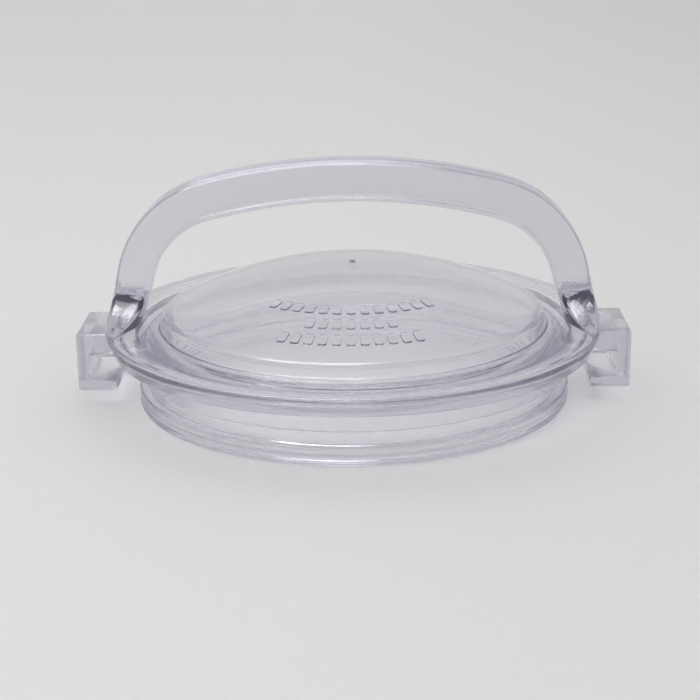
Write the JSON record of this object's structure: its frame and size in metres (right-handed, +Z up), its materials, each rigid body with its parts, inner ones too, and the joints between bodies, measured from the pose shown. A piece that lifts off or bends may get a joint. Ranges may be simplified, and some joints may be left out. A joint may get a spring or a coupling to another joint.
{
  "type": "pool pump strainer lid",
  "caption": "Clear domed strainer-pot lid with a fixed arch handle, a grooved spigot below and claw ears that lock it by a twist.",
  "frame": {"origin": "centre of the spigot's foot, on the lid's axis, at the level of the surface that it stands on", "axes": "+Z up along the lid's axis; +X towards the right ear, along the handle; the raised marks are on the -Y side"},
  "size_m": [0.2102, 0.19, 0.0913],
  "materials": {
    "clear_lid": "clear moulded polycarbonate, glossy, faint violet-grey tint",
    "clear_handle": "clear moulded polycarbonate, glossy",
    "hazy_ear": "clear moulded polycarbonate, slightly hazy"
  },
  "bodies": {
    "root": {"dome_window": "clear_lid", "flange_web": "clear_lid", "rim_skirt": "clear_lid", "seal_spigot": "clear_lid", "handle_arch": "clear_handle", "left_ear": "hazy_ear", "right_ear": "hazy_ear", "raised_marks": "clear_lid"}
  },
  "joints": []
}
